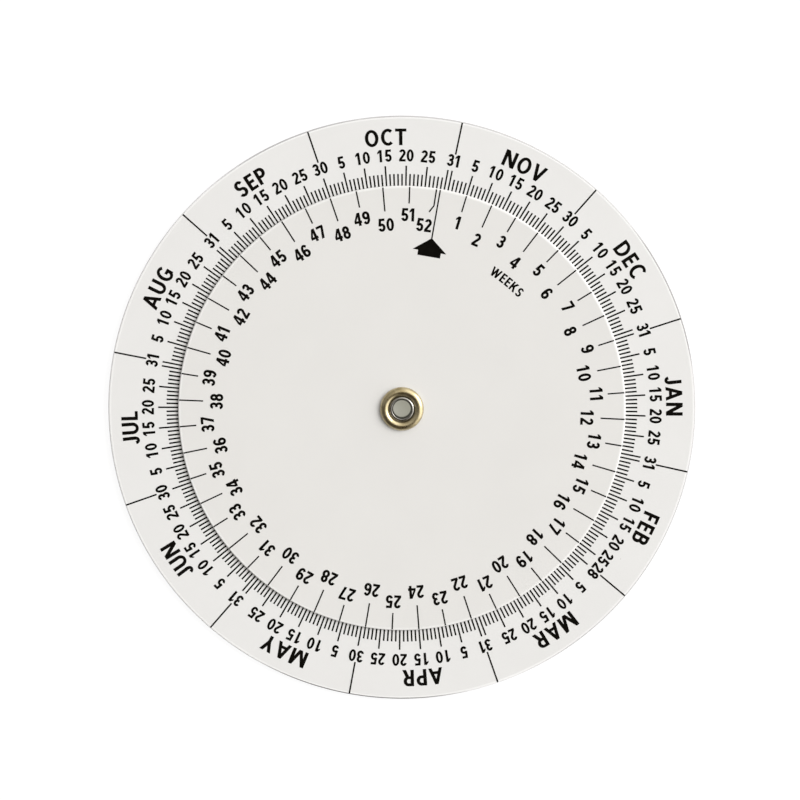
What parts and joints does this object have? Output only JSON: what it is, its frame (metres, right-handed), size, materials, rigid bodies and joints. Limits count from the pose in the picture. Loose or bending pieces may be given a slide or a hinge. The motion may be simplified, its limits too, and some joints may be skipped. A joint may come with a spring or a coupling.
{
  "type": "date wheel",
  "caption": "Flat date wheel: a smaller week-numbered disc turns on a central eyelet over a larger disc ringed with days and months, and its pointer sets the start date.",
  "frame": {"origin": "centre of the eyelet's hole, on the flat land of its back flange", "axes": "+Z along the hub axis, out of the printed faces; +Y along the pointer"},
  "size_m": [0.127, 0.127, 0.003],
  "materials": {
    "white_sheet": "satin white PVC sheet, die-cut edges",
    "black_ink": "screen-printed black ink",
    "nickel": "nickel-plated, lightly dulled",
    "brass": "polished, lightly tarnished"
  },
  "bodies": {
    "month_wheel": {"month_disc": "white_sheet", "day_ticks": "black_ink", "month_lines": "black_ink", "eyelet": "nickel", "washer": "brass"},
    "week_wheel": {"week_disc": "white_sheet", "week_lines": "black_ink", "pointer_arrow": "black_ink"}
  },
  "joints": [
    {"name": "week_turn", "type": "hinge", "parent": "month_wheel", "child": "week_wheel", "pos_m": [0, 0, 0.00165], "axis": [0, 0, 1], "continuous": true}
  ]
}
